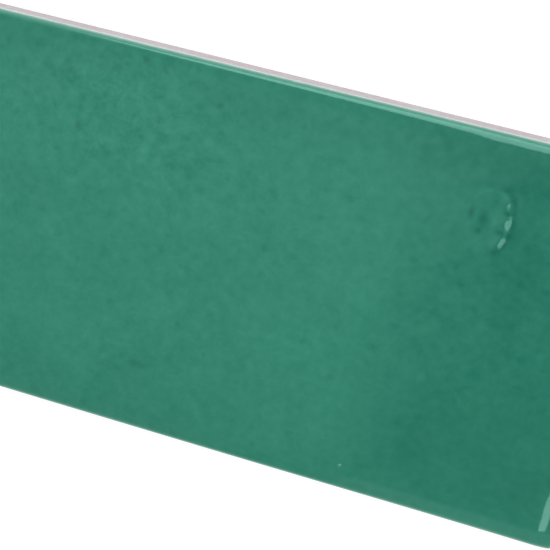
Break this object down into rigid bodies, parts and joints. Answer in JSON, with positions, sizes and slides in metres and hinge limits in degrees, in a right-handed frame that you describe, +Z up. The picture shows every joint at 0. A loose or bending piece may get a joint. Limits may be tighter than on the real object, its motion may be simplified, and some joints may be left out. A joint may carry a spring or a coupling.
{
  "type": "ceramic wall tile",
  "caption": "Oblong glazed ceramic wall tile with a gently rolling face, rounded glazed edges, bare biscuit sides and a keyed back, stored flat with the face up.",
  "frame": {"origin": "middle of the back, on the plane of its ribs", "axes": "+X along the length, +Y across the width, +Z up through the thickness, out of the glazed face"},
  "size_m": [0.15, 0.075, 0.008],
  "materials": {
    "glazed_tile": "gloss"
  },
  "bodies": {
    "root": {"tile": "glazed_tile"}
  },
  "joints": []
}
